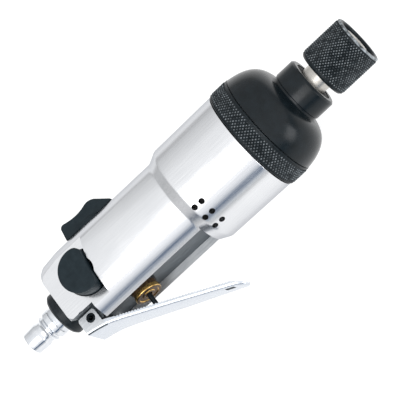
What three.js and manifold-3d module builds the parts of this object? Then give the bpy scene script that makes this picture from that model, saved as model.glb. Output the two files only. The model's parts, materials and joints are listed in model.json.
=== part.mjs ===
// A straight air impact screwdriver with a lever throttle and a quick-change chuck for 1/4 inch hex bits.
// Millimetres. +X runs along the spindle towards the bit, +Z points at the near reversing button,
// and the throttle lever hangs on the -Y side. The origin is the middle of the bit socket's floor.
import * as THREE from "three";
import { mergeVertices } from "three/addons/utils/BufferGeometryUtils.js";
import Module from "manifold-3d";

const wasm = await Module();
wasm.setup();

// ---- Driving dimensions ----
const GAP = 0.3; // running and assembly gap between separate pieces
const ROUND = 32; // facets round a large turned piece
const MID_ROUND = 24; // facets round a middling turned piece
const SMALL_ROUND = 16; // facets round a small turned piece
const TINY_ROUND = 8; // facets round pins and drillings

const HANDLE_R = 21.7; // grip radius
const BODY_R = 24.7; // front of the aluminium housing
const HOUSING_REAR = -150.4;
const SHOULDER_REAR = -83.6;
const SHOULDER_FRONT = -78.4;
const RING_REAR = -45;
const RING_FRONT = -35.2;
const RING_R = 25.4; // knurled clamp ring
const SPIGOT_R = 22.4; // threaded front end of the housing
const SPIGOT_FRONT = -28;
const HAMMER_CAVITY_R = 19.5;
const HAMMER_CAVITY_REAR = -79.5;
const MOTOR_BORE_R = 13.6;
const MOTOR_BORE_REAR = -112;

const CASE_REAR = -34.9;
const CASE_R = 24.9;
const NOSE_BASE = -19.5;
const NOSE_FRONT = -9;
const NOSE_R = 12.4;
const NOSE_BORE_R = 9.5;

const SPINDLE_R = 6.4;
const SPINDLE_FRONT = 16;
const HEX_FLATS = 6.5; // socket for a 6.35 mm (1/4 inch) hex shank
const SLEEVE_REAR = -4.6;
const SLEEVE_FRONT = 17;
const SLEEVE_R = 12.1;
const LOCK_BALL_X = 5.5;
const LOCK_BALL_R = 1.95;

const CHANNEL_FLOOR = 15.1; // distance of the lever channel's floor from the spindle axis
const CHANNEL_HALF = 10.9;
const CHANNEL_REAR = -140.2;
const NOTCH_FRONT = -138;
const CHANNEL_FRONT = -83;
const TONGUE_HALF = 7; // rear tongue of the housing that the lever straddles
const LEVER_HALF = 8.8;
const LEVER_SHEET = 1.2;
const PIN_X = -144.7;
const PIN_Y = -13.3;
const PIN_R = 2;

const VALVE_X = -120.6; // throttle valve, on the lever side
const REGULATOR_X = -121.5; // power regulator, opposite the lever
const REVERSE_X = -132; // crosswise reversing valve
const SIDE_FLAT_Z = 16.7; // the flats milled on both sides of the housing's rear end
const SIDE_FLAT_FRONT = -127.07; // front end of those flats, at the middle
const FRONT_TILT = 8.4; // degrees that the flats' front walls and the buttons are turned
const POCKET_FLOOR = 12.5;
const POCKET_CLEARANCE = 0.4;
const BUTTON_R = 9.9;
const BUTTON_FLAT = 4.2; // from the button's centre to its flat front side
const BUTTON_HEIGHT = 8.3;
const REVERSE_TRAVEL = 3;

const PLUG_REAR = -175.2;
const MOTOR_AXIS_OFFSET = 0.9; // the liner's bore sits off the rotor's axis by this much
const VANES = 5;

// ---- Shape helpers: three.js makes each shape, and the manifold library joins and cuts ----
const X_AXIS = new THREE.Vector3(1, 0, 0);
const Y_AXIS = new THREE.Vector3(0, 1, 0);
const Z_AXIS = new THREE.Vector3(0, 0, 1);

function manifoldOf(vertices, faces) {
  return new wasm.Manifold(
    new wasm.Mesh({ numProp: 3, vertProperties: vertices, triVerts: new Uint32Array(faces) }),
  );
}

// A closed geometry as a solid with its faces turned outwards.
function solid(geometry) {
  const bare = geometry.index ? geometry.toNonIndexed() : geometry;
  bare.deleteAttribute("normal");
  bare.deleteAttribute("uv");
  const merged = mergeVertices(bare, 1e-4);
  const faces = [];
  for (let i = 0; i < merged.index.count; i += 3) {
    const [a, b, c] = merged.index.array.slice(i, i + 3);
    if (a !== b && b !== c && c !== a) faces.push(a, b, c);
  }
  const made = manifoldOf(merged.attributes.position.array, faces);
  return made.volume() > 0 ? made : manifoldOf(merged.attributes.position.array, faces.reverse());
}

// Turns geometry made round +X so that it stands round another direction, and moves it.
function placed(geometry, { at = [0, 0, 0], facing = X_AXIS } = {}) {
  const turn = new THREE.Quaternion().setFromUnitVectors(X_AXIS, facing.clone().normalize());
  return geometry.applyQuaternion(turn).translate(...at);
}

// A piece turned round an axis. The profile lists [distance along the axis, radius].
function turned(profile, segments = ROUND, place = {}) {
  const points = profile.map(([along, radius]) => new THREE.Vector2(Math.max(radius, 0), along));
  const onAxis = profile[0][1] === 0 && profile.at(-1)[1] === 0;
  if (!onAxis) points.push(points[0].clone());
  const geometry = new THREE.LatheGeometry(points, segments).rotateZ(-Math.PI / 2);
  return solid(placed(geometry, place));
}

// A plain tube or, with no inner radius, a plain rod.
function tube(from, to, outer, inner = 0, segments = ROUND, place = {}) {
  return turned([[from, inner], [from, outer], [to, outer], [to, inner]], segments, place);
}

function rod(from, to, radius, segments = SMALL_ROUND, place = {}) {
  return turned([[from, 0], [from, radius], [to, radius], [to, 0]], segments, place);
}

function box(x0, x1, y0, y1, z0, z1) {
  const geometry = new THREE.BoxGeometry(x1 - x0, y1 - y0, z1 - z0);
  return solid(geometry.translate((x0 + x1) / 2, (y0 + y1) / 2, (z0 + z1) / 2));
}

// An outline in the XY plane, extruded from z0 to z1.
function plate(shape, z0, z1, curveSegments = 8) {
  const geometry = new THREE.ExtrudeGeometry(shape, { depth: z1 - z0, bevelEnabled: false, curveSegments });
  return solid(geometry.translate(0, 0, z0));
}

// An outline of [x, z] points seen along Y, extruded from y0 to y1.
function plan(points, y0, y1) {
  const shape = new THREE.Shape(points.map(([x, z]) => new THREE.Vector2(x, -z)));
  const geometry = new THREE.ExtrudeGeometry(shape, { depth: y1 - y0, bevelEnabled: false });
  return solid(geometry.rotateX(-Math.PI / 2).translate(0, y0, 0));
}

// A hexagonal prism round X, with a flat facing +Y.
function hexagon(from, to, flats) {
  const geometry = new THREE.CylinderGeometry(flats / Math.sqrt(3), flats / Math.sqrt(3), to - from, 6);
  return solid(geometry.rotateZ(-Math.PI / 2).translate((from + to) / 2, 0, 0));
}

// A coil spring standing along a direction from a start point.
function spring(start, direction, length, radius, wire, turns) {
  class Helix extends THREE.Curve {
    getPoint(t, target = new THREE.Vector3()) {
      const angle = 2 * Math.PI * turns * t;
      return target.set(t * length, radius * Math.cos(angle), radius * Math.sin(angle));
    }
  }
  const section = new THREE.Shape();
  const sides = 4;
  for (let i = 0; i < sides; i++) {
    const angle = (2 * Math.PI * i) / sides;
    const point = [wire * Math.cos(angle), wire * Math.sin(angle)];
    if (i === 0) section.moveTo(...point);
    else section.lineTo(...point);
  }
  section.closePath();
  const steps = Math.round(10 * turns);
  const geometry = new THREE.ExtrudeGeometry(section, { extrudePath: new Helix(), steps, bevelEnabled: false });
  return solid(placed(geometry, { at: start, facing: direction }));
}

function ball(x, y, z, radius, detail) {
  return solid(new THREE.IcosahedronGeometry(radius, detail).translate(x, y, z));
}

const degrees = (angle) => (angle * Math.PI) / 180;

// ---- Materials ----
function finish(color, roughness, metalness) {
  return new THREE.MeshStandardMaterial({ color, roughness, metalness });
}

const LOOK = {
  aluminium: finish(0xdfe2e6, 0.22, 1),
  chrome: finish(0xe6e8ea, 0.12, 1),
  steel: finish(0xa9acae, 0.32, 1),
  springSteel: finish(0x85888c, 0.4, 1),
  blackSteel: finish(0x23282b, 0.48, 0.7),
  blackGloss: finish(0x14191d, 0.22, 0.1),
  plastic: finish(0x2f3b42, 0.55, 0),
  rubber: finish(0x1b1c1d, 0.8, 0),
  brass: finish(0xc59a45, 0.3, 1),
  bronze: finish(0xa57c48, 0.4, 1),
  felt: finish(0x3a3a38, 0.95, 0),
};

const tool = new THREE.Group();

function piece(name, made, look) {
  const mesh = made.getMesh();
  const geometry = new THREE.BufferGeometry();
  geometry.setAttribute("position", new THREE.BufferAttribute(mesh.vertProperties, 3));
  geometry.setIndex(new THREE.BufferAttribute(mesh.triVerts, 1));
  geometry.computeVertexNormals();
  const node = new THREE.Mesh(geometry, look);
  node.name = name;
  tool.add(node);
}

// ---- Housing ----
const INLET_BORE_R = 6.8;
const INLET_BORE_FRONT = -141;
const VALVE_BORE_R = 5.3;
const VALVE_CHAMBER_TOP = 3.5;
const REGULATOR_BORE_R = 5;
const REGULATOR_SEAT = 6;
const REVERSE_BORE_R = 5.8;
const EXHAUST_ROWS = [34, 49, 64, 116, 131, 146]; // degrees round from +Z towards the lever
const EXHAUST_COLUMNS = [-77.4, -73.5];
const EXHAUST_R = 1.35;

function housingBlank() {
  return turned(
    [
      [HOUSING_REAR, 0],
      [HOUSING_REAR, 19.1],
      [HOUSING_REAR + 0.6, 19.8],
      [HOUSING_REAR + 2.2, 20.5],
      [HOUSING_REAR + 5.4, 21.2],
      [HOUSING_REAR + 11, HANDLE_R],
      [SHOULDER_REAR, HANDLE_R],
      [SHOULDER_FRONT, BODY_R - 0.5],
      [RING_REAR - GAP, BODY_R],
      [RING_REAR - GAP, SPIGOT_R],
      [SPIGOT_FRONT, SPIGOT_R],
      [SPIGOT_FRONT, HAMMER_CAVITY_R],
      [HAMMER_CAVITY_REAR, HAMMER_CAVITY_R],
      [HAMMER_CAVITY_REAR, MOTOR_BORE_R],
      [MOTOR_BORE_REAR, MOTOR_BORE_R],
      [MOTOR_BORE_REAR, 0],
    ],
    ROUND,
  );
}

// Side notches that leave a tongue for the lever to straddle. Their upper wall slopes outwards.
function leverNotch(side) {
  const shape = new THREE.Shape();
  const outer = 30;
  [[-9.2, TONGUE_HALF], [-14.9, outer], [-outer, outer], [-outer, TONGUE_HALF]].forEach(([y, z], i) =>
    i === 0 ? shape.moveTo(y, side * z) : shape.lineTo(y, side * z),
  );
  shape.closePath();
  const length = NOTCH_FRONT - HOUSING_REAR + 1;
  const geometry = new THREE.ExtrudeGeometry(shape, { depth: length, bevelEnabled: false });
  // The outline's axes are Y and Z, and it is extruded along X.
  const toTool = new THREE.Matrix4().makeBasis(Y_AXIS, Z_AXIS, X_AXIS);
  return solid(geometry.applyMatrix4(toTool).translate(HOUSING_REAR - 1, 0, 0));
}

// The D-shaped outline shared by the reversing buttons and their pockets.
function buttonOutline(grow) {
  const radius = BUTTON_R + grow;
  const flat = BUTTON_FLAT + grow;
  const corner = Math.acos(flat / radius);
  const tilt = degrees(FRONT_TILT);
  const shape = new THREE.Shape();
  shape.absarc(REVERSE_X, 0, radius, corner - tilt, 2 * Math.PI - corner - tilt, false);
  shape.closePath();
  return shape;
}

// Everything outside a side flat, seen along Z.
function sideFlat(from, to) {
  const half = 30;
  const lean = half * Math.tan(degrees(FRONT_TILT));
  const outline = [
    [HOUSING_REAR - 5, -half],
    [SIDE_FLAT_FRONT - lean, -half],
    [SIDE_FLAT_FRONT + lean, half],
    [HOUSING_REAR - 5, half],
  ];
  return plate(new THREE.Shape(outline.map(([x, y]) => new THREE.Vector2(x, y))), from, to);
}

function housing() {
  const far = 40;
  let body = housingBlank();
  const cuts = [
    box(CHANNEL_REAR, CHANNEL_FRONT, -far, -CHANNEL_FLOOR, -CHANNEL_HALF, CHANNEL_HALF),
    box(HOUSING_REAR - 1, CHANNEL_REAR, -far, -CHANNEL_FLOOR - 1.1, -far, far),
    leverNotch(1),
    leverNotch(-1),
    rod(-far, far, PIN_R + 0.05, SMALL_ROUND, { at: [PIN_X, PIN_Y, 0], facing: Z_AXIS }),
    sideFlat(SIDE_FLAT_Z, far),
    sideFlat(-far, -SIDE_FLAT_Z),
    plate(buttonOutline(POCKET_CLEARANCE), POCKET_FLOOR, far, 10),
    plate(buttonOutline(POCKET_CLEARANCE), -far, -POCKET_FLOOR, 10),
    rod(-far, far, REVERSE_BORE_R, SMALL_ROUND, { at: [REVERSE_X, 0, 0], facing: Z_AXIS }),
    rod(HOUSING_REAR - 1, INLET_BORE_FRONT, INLET_BORE_R, SMALL_ROUND),
    rod(INLET_BORE_FRONT - 1, VALVE_X, 1.6, TINY_ROUND, { at: [0, -8, 0] }),
    rod(-far, VALVE_CHAMBER_TOP, VALVE_BORE_R, SMALL_ROUND, { at: [VALVE_X, 0, 0], facing: Y_AXIS }),
    rod(REGULATOR_SEAT, far, REGULATOR_BORE_R, SMALL_ROUND, { at: [REGULATOR_X, 0, 0], facing: Y_AXIS }),
    rod(0, far, 7.3, SMALL_ROUND, { at: [REGULATOR_X, 19.7, 0], facing: Y_AXIS }),
    rod(0, far, 1.6, TINY_ROUND, { at: [REGULATOR_X, 0, 0], facing: Y_AXIS }),
    // supply drillings from the reversing valve to the motor, one for each direction
    rod(REVERSE_X, MOTOR_BORE_REAR + 1, 1.4, TINY_ROUND, { at: [0, 3.2, 7.5] }),
    rod(REVERSE_X, MOTOR_BORE_REAR + 1, 1.4, TINY_ROUND, { at: [0, 3.2, -7.5] }),
    // passage from the regulator back to the reversing valve
    rod(REVERSE_X, REGULATOR_X, 1.4, TINY_ROUND, { at: [0, 7.6, 0] }),
    // exhaust groove beside the motor, open to the chamber behind the vent holes
    box(-100, HAMMER_CAVITY_REAR + 1, -4, 4, 12, 15.5),
  ];
  for (const x of EXHAUST_COLUMNS)
    for (const row of EXHAUST_ROWS) {
      const outwards = new THREE.Vector3(0, -Math.sin(degrees(row)), Math.cos(degrees(row)));
      cuts.push(rod(12, far, EXHAUST_R, TINY_ROUND, { at: [x, 0, 0], facing: outwards }));
    }
  for (const cut of cuts) body = body.subtract(cut);
  return body;
}

piece("housing", housing(), LOOK.aluminium);

// ---- Air inlet ----
const PLUG_BORE_R = 2.7;
const COLLAR_REAR = -157;

function inletBushing() {
  return turned(
    [
      [COLLAR_REAR, 6.3],
      [COLLAR_REAR, 9.2],
      [COLLAR_REAR + 1.2, 10.4],
      [HOUSING_REAR - GAP, 10.5],
      [HOUSING_REAR - GAP, INLET_BORE_R - 0.15],
      [-143, INLET_BORE_R - 0.15],
      [-143, 5],
      [-154, 5],
      [-154, 6.3],
    ],
    ROUND,
  );
}

// Quick-release air plug: nose, waist, locking shoulder, collar and thread.
function airPlug() {
  return turned(
    [
      [PLUG_REAR, PLUG_BORE_R],
      [PLUG_REAR, 5],
      [PLUG_REAR + 0.8, 5.6],
      [-169, 5.7],
      [-167.6, 5.1],
      [-166.2, 5.1],
      [-164.8, 6.3],
      [-164.2, 5.4],
      [-163.5, 5.5],
      [-162.6, 6.7],
      [-160.2, 6.6],
      [-159.9, 6.2],
      [-159.5, 6.6],
      [-156.5, 6],
      [-154.3, 6],
      [-154.3, 4.7],
      [-145, 4.7],
      [-145, PLUG_BORE_R],
    ],
    MID_ROUND,
  );
}

function inletScreen() {
  let disc = rod(-144.6, -144, 4.6, SMALL_ROUND);
  for (let i = 0; i < 6; i++) {
    const angle = degrees(60 * i);
    const at = [0, 2.6 * Math.cos(angle), 2.6 * Math.sin(angle)];
    disc = disc.subtract(rod(-150, -140, 0.8, 6, { at }));
  }
  return disc;
}

piece("inlet_bushing", inletBushing(), LOOK.blackSteel);
piece("air_plug", airPlug(), LOOK.chrome);
piece("inlet_screen", inletScreen(), LOOK.steel);
piece("inlet_o_ring", tube(-142.7, -141.3, 6.5, 4.9, SMALL_ROUND), LOOK.rubber);

// ---- Throttle lever ----
// The lever's outer face in the XY plane, from behind the pin to the tip.
const LEVER_PATH = [[-150.6, -18.3], [-146, -19.2], [-141, -20.5], [-135, -23], [-88, -45], [-84.6, -47.2]];
// Half widths of the lever along X.
const LEVER_WIDTHS = [[-152, LEVER_HALF], [-139, LEVER_HALF], [-126, 8], [-112, 7.5], [-98, 6.2], [-88, 5.2]];

// The lever's outer face, moved towards the housing by a distance square to the face.
function leverLine(inset) {
  return LEVER_PATH.map(([x, y], i) => {
    const [x0, y0] = LEVER_PATH[Math.max(i - 1, 0)];
    const [x1, y1] = LEVER_PATH[Math.min(i + 1, LEVER_PATH.length - 1)];
    const length = Math.hypot(x1 - x0, y1 - y0);
    return new THREE.Vector2(x - ((y1 - y0) / length) * inset, y + ((x1 - x0) / length) * inset);
  });
}

function leverPlan(inset) {
  const tip = [[-85.6, 4.2], [-84.2, 2.2]].map(([x, z]) => [x - inset, z - inset / 2]);
  const side = [...LEVER_WIDTHS.map(([x, z]) => [x, z - inset]), ...tip];
  const mirrored = side.map(([x, z]) => [x, -z]).reverse();
  return plan([...side, ...mirrored], -60, 0);
}

function throttleLever() {
  const webOutline = new THREE.Shape([...leverLine(0), ...leverLine(LEVER_SHEET).reverse()]);
  const web = plate(webOutline, -LEVER_HALF, LEVER_HALF).intersect(leverPlan(0));
  const lugRear = -150.3;
  const lugFront = -141.3;
  const lugTop = -10.4;
  const corner = 1.1;
  const flange = leverLine(2.5).slice(3, 5).reverse();
  const wallOutline = new THREE.Shape([
    ...leverLine(0).slice(0, 5),
    ...flange,
    new THREE.Vector2(lugFront, -17.6),
    new THREE.Vector2(lugFront, lugTop - corner),
    new THREE.Vector2(lugFront - corner, lugTop),
    new THREE.Vector2(lugRear + corner, lugTop),
    new THREE.Vector2(lugRear, lugTop - corner),
  ]);
  const rim = leverPlan(0).subtract(leverPlan(LEVER_SHEET));
  const walls = plate(wallOutline, -LEVER_HALF, LEVER_HALF).intersect(rim);
  const pinHole = rod(-20, 20, PIN_R + 0.15, SMALL_ROUND, { at: [PIN_X, PIN_Y, 0], facing: Z_AXIS });
  const tipSlot = plan([[-92.6, 1], [-92.6, 3.6], [-88.8, 3.2], [-88.8, 1]], -60, 0);
  return web.add(walls).subtract(pinHole).subtract(tipSlot);
}

// A rolled spring pin: a tube with a slit along it.
function leverPin() {
  const tubePin = tube(-8.7, 8.7, PIN_R, 1.15, SMALL_ROUND, { at: [PIN_X, PIN_Y, 0], facing: Z_AXIS });
  return tubePin.subtract(box(PIN_X, PIN_X + 5, PIN_Y - 0.3, PIN_Y + 0.3, -10, 10));
}

piece("throttle_lever", throttleLever(), LOOK.chrome);
piece("lever_pin", leverPin(), LOOK.blackSteel);

// ---- Throttle valve, pushed in by the lever ----
const STEM_TIP = -27.8;
const POPPET_TOP = -6.4;
const valvePlace = { at: [VALVE_X, 0, 0], facing: Y_AXIS };

function valveBushing() {
  return turned(
    [
      [-20.1, 1.6],
      [-20.1, 5.7],
      [-19.5, 6.3],
      [-17.9, 6.3],
      [-17.9, 5.9],
      [-16, 5.9],
      [-16, 5],
      [-9, 5],
      [-9, 3.6],
      [-16.6, 3.6],
      [-16.6, 3],
      [-19, 3],
      [-19, 1.6],
    ],
    SMALL_ROUND,
    valvePlace,
  );
}

function valveStem() {
  return turned(
    [
      [STEM_TIP, 0],
      [STEM_TIP, 0.7],
      [STEM_TIP + 0.5, 1.1],
      [-8.6, 1.1],
      [-8.6, 4.2],
      [POPPET_TOP - 0.8, 4.2],
      [POPPET_TOP, 3.2],
      [POPPET_TOP, 0],
    ],
    TINY_ROUND,
    valvePlace,
  );
}

piece("valve_bushing", valveBushing(), LOOK.brass);
piece("valve_gasket", tube(-15.8, -15.15, 6.6, 5.4, SMALL_ROUND, valvePlace), LOOK.rubber);
piece("valve_stem", valveStem(), LOOK.blackSteel);
piece("stem_o_ring", tube(-18.8, -17.2, 2.7, 1.4, TINY_ROUND, valvePlace), LOOK.rubber);
const valveSpringLength = VALVE_CHAMBER_TOP - POPPET_TOP - 1.4;
piece(
  "valve_spring",
  spring([VALVE_X, POPPET_TOP + 0.7, 0], Y_AXIS, valveSpringLength, 2.7, 0.35, 4),
  LOOK.springSteel,
);

// ---- Power regulator: a turning plug with a wing-shaped thumb knob ----
const regulatorPlace = { at: [REGULATOR_X, 0, 0], facing: Y_AXIS };

function regulatorKnob() {
  const hub = turned([[20.1, 0], [20.1, 6.9], [22, 6.9], [22, 0]], MID_ROUND, regulatorPlace);
  const wing = new THREE.Shape();
  wing.moveTo(-134.1, 21.9);
  wing.lineTo(-133.2, 27.7);
  wing.quadraticCurveTo(-132.4, 29.2, -130.8, 28.9);
  wing.quadraticCurveTo(-124, 27.1, -118.6, 28.9);
  wing.quadraticCurveTo(-115.9, 29.7, -113.4, 28);
  wing.lineTo(-107.5, 22.8);
  wing.lineTo(-107.5, 21.9);
  wing.closePath();
  return hub.add(plate(wing, -4.8, 4.8, 5));
}

function regulatorPlug() {
  const stem = turned(
    [[6.3, 0], [6.3, 4.7], [10.4, 4.7], [10.4, 3.6], [12.4, 3.6], [12.4, 4.7], [19.8, 4.7], [19.8, 0]],
    SMALL_ROUND,
    regulatorPlace,
  );
  return stem.subtract(rod(-6, 6, 1.5, TINY_ROUND, { at: [REGULATOR_X, 8.3, 0] }));
}

piece("regulator_knob", regulatorKnob(), LOOK.plastic);
piece("regulator_plug", regulatorPlug(), LOOK.brass);
piece("regulator_o_ring", tube(10.7, 12.1, 4.85, 3.8, SMALL_ROUND, regulatorPlace), LOOK.rubber);

// ---- Crosswise reversing valve with a button at each end ----
const reversePlace = { at: [REVERSE_X, 0, 0], facing: Z_AXIS };
const SPOOL_R = 3.6;

// A button stands from its seat outwards by its height, with a bevelled face.
function reverseButton(side, seat, face) {
  const bevel = 0.8;
  const skirt = plate(buttonOutline(0), seat, face - bevel, 10);
  const cap = plate(buttonOutline(-bevel), seat + 1, face, 10);
  const made = skirt.add(cap);
  const socket = rod(seat - 1, seat + 3.3, SPOOL_R + GAP, SMALL_ROUND, reversePlace);
  const button = made.subtract(socket);
  if (side > 0) return button;
  const mesh = button.getMesh();
  const geometry = new THREE.BufferGeometry();
  geometry.setAttribute("position", new THREE.BufferAttribute(mesh.vertProperties, 3));
  geometry.setIndex(new THREE.BufferAttribute(mesh.triVerts, 1));
  return solid(geometry.scale(1, 1, -1));
}

const NEAR_SEAT = POCKET_FLOOR + REVERSE_TRAVEL + 0.4;
const NEAR_FACE = NEAR_SEAT + BUTTON_HEIGHT;
const FAR_SEAT = POCKET_FLOOR + GAP;
const FAR_FACE = FAR_SEAT + BUTTON_HEIGHT;

function reverseSpool() {
  const low = -FAR_SEAT - 3;
  const high = NEAR_SEAT + 3;
  const waist = 2.4;
  return turned(
    [
      [low, 0],
      [low, SPOOL_R],
      [-9, SPOOL_R],
      [-9, waist],
      [-5, waist],
      [-5, SPOOL_R],
      [5, SPOOL_R],
      [5, waist],
      [9, waist],
      [9, SPOOL_R],
      [high, SPOOL_R],
      [high, 0],
    ],
    SMALL_ROUND,
    reversePlace,
  );
}

function reverseBushing() {
  const half = POCKET_FLOOR - 0.2;
  let sleeve = tube(-half, half, REVERSE_BORE_R - 0.2, SPOOL_R + GAP, SMALL_ROUND, reversePlace);
  for (const z of [-7.5, 7.5]) sleeve = sleeve.subtract(rod(0, 10, 1.3, TINY_ROUND, { at: [REVERSE_X, 2.6, z] }));
  return sleeve.subtract(rod(0, 10, 1.3, TINY_ROUND, { at: [REVERSE_X, 0, 0], facing: Y_AXIS }));
}

piece("reverse_spool", reverseSpool(), LOOK.steel);
piece("reverse_bushing", reverseBushing(), LOOK.bronze);
piece("reverse_button_near", reverseButton(1, NEAR_SEAT, NEAR_FACE), LOOK.plastic);
piece("reverse_button_far", reverseButton(-1, FAR_SEAT, FAR_FACE), LOOK.plastic);

// ---- Vane motor ----
const ROTOR_REAR = -106.8;
const ROTOR_FRONT = -77.3;
const ROTOR_R = 9.6;
const REAR_SHAFT_R = 3;
const FRONT_SHAFT_R = 3.9;

function rearEndPlate() {
  const plateSolid = turned(
    [
      [-111.9, 7.9],
      [-111.9, 13.3],
      [-107.2, 13.3],
      [-107.2, 3.5],
      [-108.2, 3.5],
      [-108.2, 7.9],
    ],
    ROUND,
  );
  const ports = [-7.5, 7.5].map((z) => rod(-113, -106, 1.3, TINY_ROUND, { at: [0, 7.8, z] }));
  return ports.reduce((body, port) => body.subtract(port), plateSolid);
}

function cylinderLiner() {
  const outside = rod(-106.9, -77.2, 13.3, ROUND);
  const bore = rod(-108, -76, 11, ROUND, { at: [0, MOTOR_AXIS_OFFSET, 0] });
  let liner = outside.subtract(bore);
  const slots = 4;
  for (let i = 0; i < slots; i++) {
    const x = -98 + 4.6 * i;
    liner = liner.subtract(box(x, x + 2.4, -3.4, 3.4, 9, 20));
  }
  return liner;
}

function frontEndPlate() {
  return turned(
    [
      [-76.9, 4.3],
      [-76.9, 13.3],
      [-71.5, 13.3],
      [-71.5, 19.2],
      [-69.4, 19.2],
      [-69.4, 11.1],
      [-75.5, 11.1],
      [-75.5, 4.3],
    ],
    ROUND,
  );
}

function rotor() {
  let body = turned(
    [
      [-111.3, 0],
      [-111.3, REAR_SHAFT_R],
      [ROTOR_REAR, REAR_SHAFT_R],
      [ROTOR_REAR, ROTOR_R],
      [ROTOR_FRONT, ROTOR_R],
      [ROTOR_FRONT, FRONT_SHAFT_R],
      [-66.7, FRONT_SHAFT_R],
      [-66.7, 0],
    ],
    ROUND,
  );
  for (let i = 0; i < VANES; i++) body = body.subtract(vane(i, 0));
  return body;
}

// One vane, or with a negative shrink the slot that it slides in.
const VANE_DEPTH = 5.6;
const VANE_HALF = 0.75;
function vane(index, shrink) {
  const tip = shrink ? 9.9 : 12;
  const geometry = new THREE.BoxGeometry(
    ROTOR_FRONT - ROTOR_REAR - (shrink ? 0.4 : -1),
    tip - ROTOR_R + VANE_DEPTH - shrink,
    2 * (VANE_HALF - shrink),
  );
  const middle = (tip + ROTOR_R - VANE_DEPTH + shrink) / 2;
  geometry.translate((ROTOR_REAR + ROTOR_FRONT) / 2, middle, 0);
  return solid(geometry.rotateX((2 * Math.PI * index) / VANES));
}

// Races and a ball ring for a small ball bearing round the rotor's axis.
function bearing(name, from, to, bore, inner, outer, rim, ballR, balls) {
  const middle = (from + to) / 2;
  const pitch = (inner + outer) / 2;
  piece(name + "_outer_race", tube(from, to, rim, outer, MID_ROUND), LOOK.steel);
  piece(name + "_inner_race", tube(from, to, inner, bore, SMALL_ROUND), LOOK.steel);
  let ring = tube(middle - 0.4, middle + 0.4, pitch + 0.35, pitch - 0.35, 12);
  for (let i = 0; i < balls; i++) {
    const angle = (2 * Math.PI * i) / balls;
    ring = ring.add(ball(middle, pitch * Math.cos(angle), pitch * Math.sin(angle), ballR, 0));
  }
  piece(name + "_ball_ring", ring, LOOK.steel);
}

piece("rear_end_plate", rearEndPlate(), LOOK.steel);
piece("cylinder_liner", cylinderLiner(), LOOK.steel);
piece("front_end_plate", frontEndPlate(), LOOK.steel);
piece("rotor", rotor(), LOOK.steel);
for (let i = 0; i < VANES; i++) piece(`vane_${i + 1}`, vane(i, 0.15), LOOK.bronze);
bearing("rear_bearing", -111.8, -108.5, REAR_SHAFT_R + GAP, 4.5, 6.5, 7.6, 0.85, 6);
bearing("front_bearing", -75.2, -71, FRONT_SHAFT_R + GAP, 6.2, 8.9, 10.8, 1.15, 6);
piece("exhaust_muffler", tube(-79.2, -71.8, 19.2, 13.9, ROUND), LOOK.felt);

// ---- Impact mechanism ----
const CAGE_R = 18.6;
const DOG_PIN_Y = 14.6;
const DOG_PIN_R = 1.7;

function hammerCage() {
  const rear = turned(
    [[-68.6, 4.2], [-68.6, CAGE_R], [-64, CAGE_R], [-64, 4.2]],
    ROUND,
  );
  const front = tube(-38, -34, CAGE_R, 8, ROUND);
  const pillars = tube(-65, -37, CAGE_R, 15.6, ROUND);
  const sector = box(-66, -36, -6, 6, 10, 30).add(box(-66, -36, -6, 6, -30, -10));
  let cage = rear.add(front).add(pillars.intersect(sector));
  for (const side of [-1, 1])
    cage = cage.subtract(rod(-67.4, -34.8, DOG_PIN_R + 0.1, TINY_ROUND, { at: [0, side * DOG_PIN_Y, 0] }));
  return cage;
}

// A hammer ring hung on its own pin, with an inner striking lug.
function hammerDog(from, to, side) {
  const ring = tube(from, to, 14.2, 10.4, ROUND);
  const ear = rod(from, to, 3.7, SMALL_ROUND, { at: [0, side * DOG_PIN_Y, 0] });
  const lug = box(from, to, side > 0 ? -11.5 : 9.2, side > 0 ? -9.2 : 11.5, -2.2, 2.2);
  const core = rod(from - 1, to + 1, 10.4, ROUND);
  const hole = rod(from - 1, to + 1, DOG_PIN_R + 0.25, TINY_ROUND, { at: [0, side * DOG_PIN_Y, 0] });
  // an open slot round the other hammer's pin limits the swing
  const slotInner = DOG_PIN_Y - DOG_PIN_R - GAP;
  const slot = box(from - 1, to + 1, side > 0 ? -20 : slotInner, side > 0 ? -slotInner : 20, -3.5, 3.5);
  return ring.add(ear.subtract(core)).add(lug).subtract(hole).subtract(slot);
}

function anvil() {
  let body = turned(
    [
      [-66.2, 0],
      [-66.2, 3.8],
      [-62, 3.8],
      [-62, 7.2],
      [-31.9, 7.2],
      [-31.9, SPINDLE_R],
      [SPINDLE_FRONT - 0.6, SPINDLE_R],
      [SPINDLE_FRONT, SPINDLE_R - 0.6],
      [SPINDLE_FRONT, 0],
    ],
    MID_ROUND,
  );
  for (const z of [-1, 1]) body = body.add(box(-61.5, -40, -2, 2, z > 0 ? 5 : -8.8, z > 0 ? 8.8 : -5));
  const lead = turned(
    [[SPINDLE_FRONT - 0.9, 0], [SPINDLE_FRONT - 0.9, 3.1], [SPINDLE_FRONT + 0.1, 4.3], [SPINDLE_FRONT + 0.1, 0]],
    SMALL_ROUND,
  );
  const floor = turned([[0, 0], [0, 2.7], [0.5, 3.2], [1, 3.2], [1, 0]], SMALL_ROUND);
  body = body.subtract(hexagon(0.5, SPINDLE_FRONT + 1, HEX_FLATS)).subtract(lead).subtract(floor);
  for (const side of [-1, 1])
    body = body.subtract(
      rod(1, 10, LOCK_BALL_R + 0.15, SMALL_ROUND, { at: [LOCK_BALL_X, 0, 0], facing: new THREE.Vector3(0, side, 0) }),
    );
  const groove = tube(13.9, 15, 8, 5.6, MID_ROUND);
  return body.subtract(groove);
}

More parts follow.
